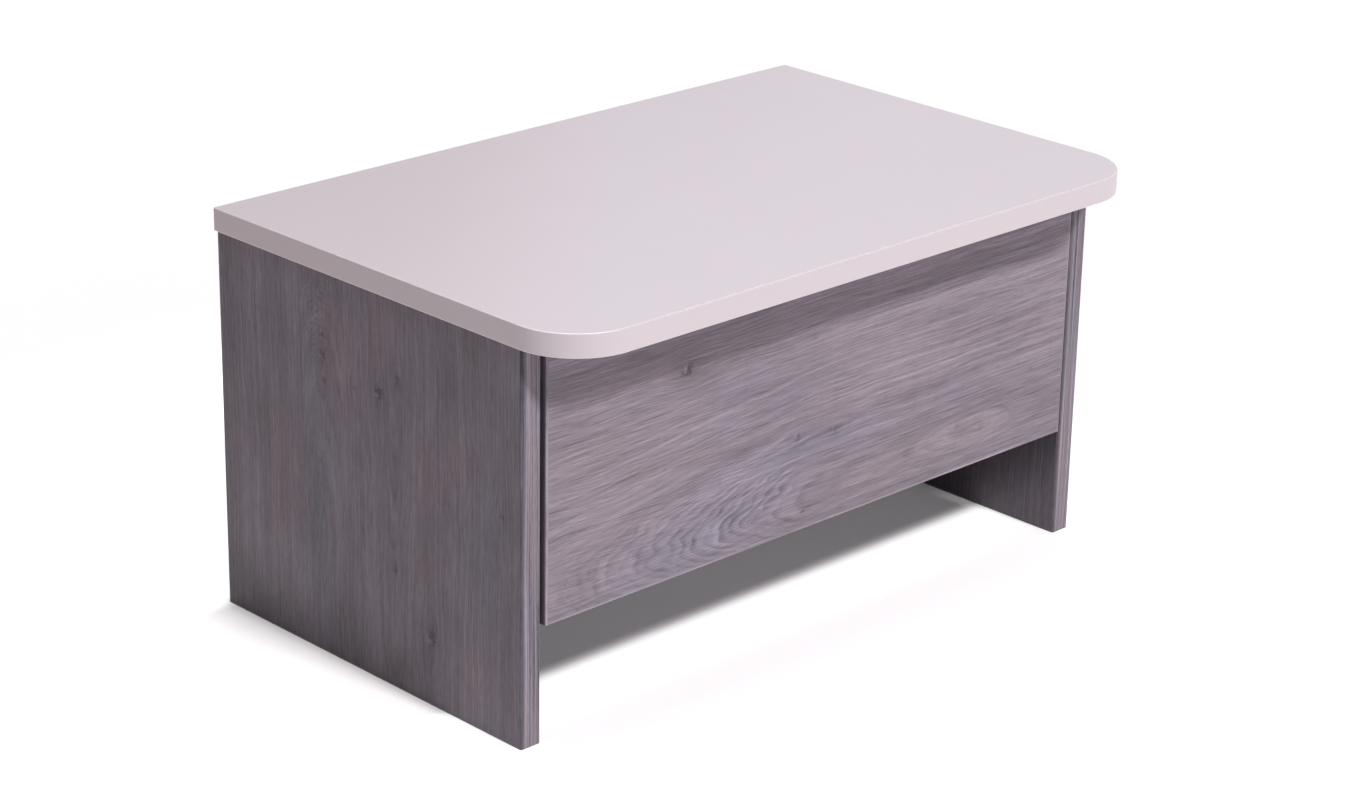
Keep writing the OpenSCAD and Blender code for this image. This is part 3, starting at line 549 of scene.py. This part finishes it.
def top_colour(p):
    """The top's pale colour, with painted shade that makes it darker and redder towards the rear left
    corner.
    """
    from_left = p.x + TOP_HALF_WIDTH
    from_back = BACK - p.y
    # Painted shade: darker towards the rear left corner.
    painted_shade_fade = (from_left * 0.0006 + from_back * 0.0012).step(-0.1, 0.60)
    corner = (from_left + from_back).step(420, 150)
    cloud = p.ripple(p.x / 120, p.y / 120, p.z / 40, 3)
    tone = painted_shade_fade * 0.13 + cloud * 0.03 + p.speckle(0.5) * 0.02 + 0.92
    return p.scaled(p.mix(corner, TOP_PALE, TOP_SHADED_CORNER), tone)


def top_paint():
    p = Paint("top_board")
    smear = p.ripple(p.x / 35, p.y / 60, 3.0, 3)
    colour = faced(p, top_colour(p), p.nz, 6.0)
    return p.finish(colour, smear * 0.08 + 0.36, p.speckle(0.5), TOP_RELIEF)


def top_band_paint():
    """The band's upper edge has the top's own colour; its upper arrises at both sides and its lower arris
    have painted highlights, and painted shade darkens it towards the back.
    """
    p = Paint("top_band")
    drag = p.ripple(p.x / 60, p.y / 60, p.z / 0.7, 3, 0.6)
    # Painted highlight on the lower arris, which faces down.
    lower = (p.nz * -1).step(0.05, 0.35)
    # Painted shade: darker and redder towards the back.
    tint = p.mix(p.y.step(-190, 170), BAND_FRONT, BAND_BACK)
    side = p.scaled(tint, drag * 0.02 + lower * 0.3 + 1)
    # Painted highlight on the upper arrises at both sides.
    arris_highlight = (p.nx.abs() * p.nz).step(0.15, 0.45) * 0.16 + 1
    upper = (p.nz + p.nx.abs() * 0.5).step(0.75, 0.95)
    colour = p.mix(upper, side, p.scaled(top_colour(p), arris_highlight))
    return p.finish(colour, drag * 0.08 + 0.34, p.speckle(0.5) * 0.5 + drag, TOP_RELIEF)


BOX_WHITE = (0.60, 0.585, 0.60)
HARDBOARD_PAINTED = (0.52, 0.50, 0.51)
HARDBOARD_RAW = (0.30, 0.185, 0.10)
BEECH = (0.60, 0.40, 0.22)


def box_board_paint():
    p = Paint("drawer_box_board")
    grit = p.speckle(0.7)
    tone = p.speckle(50, 3, 0.5) * 0.05 + grit * 0.05 + 1
    return p.finish(p.scaled(BOX_WHITE, tone), grit * 0.1 + 0.5, grit, 0.03)


def hardboard_paint():
    """Painted on the faces that show inside, which look up or to the front, and raw elsewhere."""
    p = Paint("hardboard")
    fibre = p.speckle(1.2, 4, 0.7)
    painted = p.scaled(HARDBOARD_PAINTED, fibre * 0.08 + 1)
    raw = p.scaled(HARDBOARD_RAW, fibre * 0.7 + p.speckle(40, 3, 0.5) * 0.3 + 1)
    inside = (p.nz - p.ny).step(0.3, 0.6)
    return p.finish(p.mix(inside, raw, painted), fibre * 0.2 + 0.62, fibre, 0.04)


def beech_paint():
    p = Paint("beech")
    ray = p.ripple(p.x / 0.6, p.y / 0.6, p.z / 2.4, 3)
    return p.finish(p.scaled(BEECH, ray * 0.4 + 1), 0.6, ray, 0.04)


METALS = {  # by material slot: name, colour, roughness, contrast of the drawn lines, seed
    "zinc_alloy": ("zinc_alloy", (0.60, 0.61, 0.62), 0.42, 0.0, 3.0),
    "zinc_steel": ("zinc_sheet", (0.72, 0.73, 0.75), 0.32, 0.25, 1.0),
    "screw_steel": ("screw_steel", (0.70, 0.70, 0.71), 0.30, 0.0, 2.0),
    "ball_steel": ("ball_steel", (0.82, 0.82, 0.83), 0.12, 0.0, 4.0),
    "cage_steel": ("cage_steel", (0.30, 0.30, 0.31), 0.45, 0.1, 5.0),
}


def metal_paint(name, colour, roughness, brush, seed):
    """Metal with stains, and with drawn lines along the rails where brush is above 0."""
    p = Paint(name)
    stain = p.ripple(p.x / 9, p.y / 14, p.z / 9 + seed, 4, 0.6)
    line = p.ripple(p.x / 0.25, p.y / 30, p.z / 0.25 + seed, 2, 0.6) * brush
    tint = p.scaled(colour, stain * 0.3 + line + 1)
    rough = (stain * 0.2 + line + roughness).at_least(0.04)
    return p.finish(tint, rough, line + stain * 0.2, 0.01, metallic=1.0)


def dress():
    """Gives every CAD node its material."""
    # The drawer front's bands are lighter than the case's band: a painted highlight along its edges.
    front_upright = oak_band_paint("oak_band_front_upright", "z", "xy", 1.12, 3.0, painted_shade_in_gap, 0.35)
    front_level = oak_band_paint("oak_band_front_level", "x", "yz", 1.16, 5.0, arris_highlight=0.7)
    by_node = {
        "left_side_panel": left_side_paint(),
        "right_side_panel": right_side_paint(),
        "drawer_front": drawer_front_paint(),
        "bottom_panel": bottom_paint(),
        "bottom_front_edge_band": oak_band_paint("oak_band_bottom", "x", "yz", 0.9, 7.0),
        "drawer_front_left_band": front_upright,
        "drawer_front_right_band": front_upright,
        "drawer_front_lower_band": front_level,
        "drawer_front_upper_band": front_level,
    }
    by_slot = {
        "oak_edge": oak_band_paint("oak_band_case", "z", "xy", 0.87, 2.0, painted_left_arris_shade),
        "top_laminate": top_paint(),
        "top_edge": top_band_paint(),
        "white_board": box_board_paint(),
        "hardboard": hardboard_paint(),
        "beech": beech_paint(),
        **{slot: metal_paint(*metal) for slot, metal in METALS.items()},
    }
    slots = {row["node"]: row["material_slot"] for row in frame["record"]["subparts"]}
    for name, node in frame["nodes"].items():
        node.data.materials.clear()
        node.data.materials.append(by_node.get(name) or by_slot[slots[name]])


def place_camera():
    data = bpy.data.cameras.new("camera")
    data.sensor_width = SENSOR_WIDTH
    data.lens = LENS
    data.clip_start = NEAREST
    data.clip_end = FARTHEST
    camera = bpy.data.objects.new("camera", data)
    turn = Matrix.Rotation(math.radians(-CAMERA_HEADING), 4, "Z")
    tilt = Matrix.Rotation(math.radians(90 - CAMERA_DOWN), 4, "X")
    roll = Matrix.Rotation(math.radians(CAMERA_ROLL), 4, "Z")
    camera.matrix_world = Matrix.Translation(CAMERA_PLACE) @ turn @ tilt @ roll
    bpy.context.scene.collection.objects.link(camera)
    bpy.context.scene.camera = camera


def place_lamp(name, towards, share, angle, mirrored=True):
    """A far lamp. Towards is its direction from the object, and share is what a white surface facing it
    sends back of it. A lamp that isn't mirrored shows in no reflection."""
    data = bpy.data.lights.new(name, "SUN")
    data.energy = share * math.pi
    data.angle = math.radians(angle)
    lamp = bpy.data.objects.new(name, data)
    lamp.rotation_mode = "QUATERNION"
    lamp.rotation_quaternion = Vector(towards).to_track_quat("Z", "Y")
    lamp.visible_glossy = mirrored
    bpy.context.scene.collection.objects.link(lamp)


def floor_glow(p):
    """How much the floor shines: a little round and under the case, and more before it and behind it. The
    two numbers of a step are the millimetres from its line where a patch starts and where it is full."""
    outside = p.x.abs() - PANEL_OUTER
    behind_case = p.y - BACK
    before_shadow = SHADOW_EDGE - p.y
    away = outside.at_least(behind_case).at_least(before_shadow)
    around = away.step(-4, 12) * away.step(320, 160)
    behind = behind_case.step(-12, 12) * behind_case.step(566, 406) * outside.step(120, 0)
    before = before_shadow.step(95, -8) * before_shadow.step(-16, 0) * outside.step(90, -10)
    under = before_shadow.step(-8, -20) * behind_case.step(0, -44) * outside.step(0, -30)
    return around * GLOW_AROUND + behind * GLOW_BEHIND + before * GLOW_BEFORE + under * GLOW_UNDER


def place_floor():
    p = Paint("floor")
    p.link(floor_glow(p), p.shader.inputs["Emission Strength"])
    p.shader.inputs["Emission Color"].default_value = (*GLOW_COLOUR, 1.0)
    colour = p.scaled(FLOOR_COLOUR, p.ripple(p.x / 40, p.y / 40, 0.0, 3) * FLOOR_MOTTLE + 1)
    half = FLOOR_HALF_SIZE
    corners = [(-half, -half, 0), (half, -half, 0), (half, half, 0), (-half, half, 0)]
    mesh = bpy.data.meshes.new("floor")
    mesh.from_pydata(corners, [], [(0, 1, 2, 3)])
    mesh.materials.append(p.finish(colour, FLOOR_ROUGHNESS))
    floor = bpy.data.objects.new("floor", mesh)
    bpy.context.scene.collection.objects.link(floor)


def place_studio():
    """Three lamps, a dim surrounding and the floor. The front fill shows in no reflection, because its glare
    would make the top white when seen from behind."""
    key_share = Vector(KEY_TOWARDS).length
    fill_share = Vector(FRONT_FILL_TOWARDS).length
    place_lamp("key", KEY_TOWARDS, key_share, KEY_ANGLE)
    place_lamp("overhead", (0, 0, 1), OVERHEAD_SHARE, OVERHEAD_ANGLE)
    place_lamp("front_fill", FRONT_FILL_TOWARDS, fill_share, FRONT_FILL_ANGLE, mirrored=False)
    world = bpy.data.worlds.new("studio")
    world.use_nodes = True
    world.node_tree.nodes["Background"].inputs["Color"].default_value = (*WORLD_COLOUR, 1.0)
    bpy.context.scene.world = world
    bpy.context.scene.view_settings.view_transform = "Standard"
    place_floor()


dress()
place_camera()
place_studio()
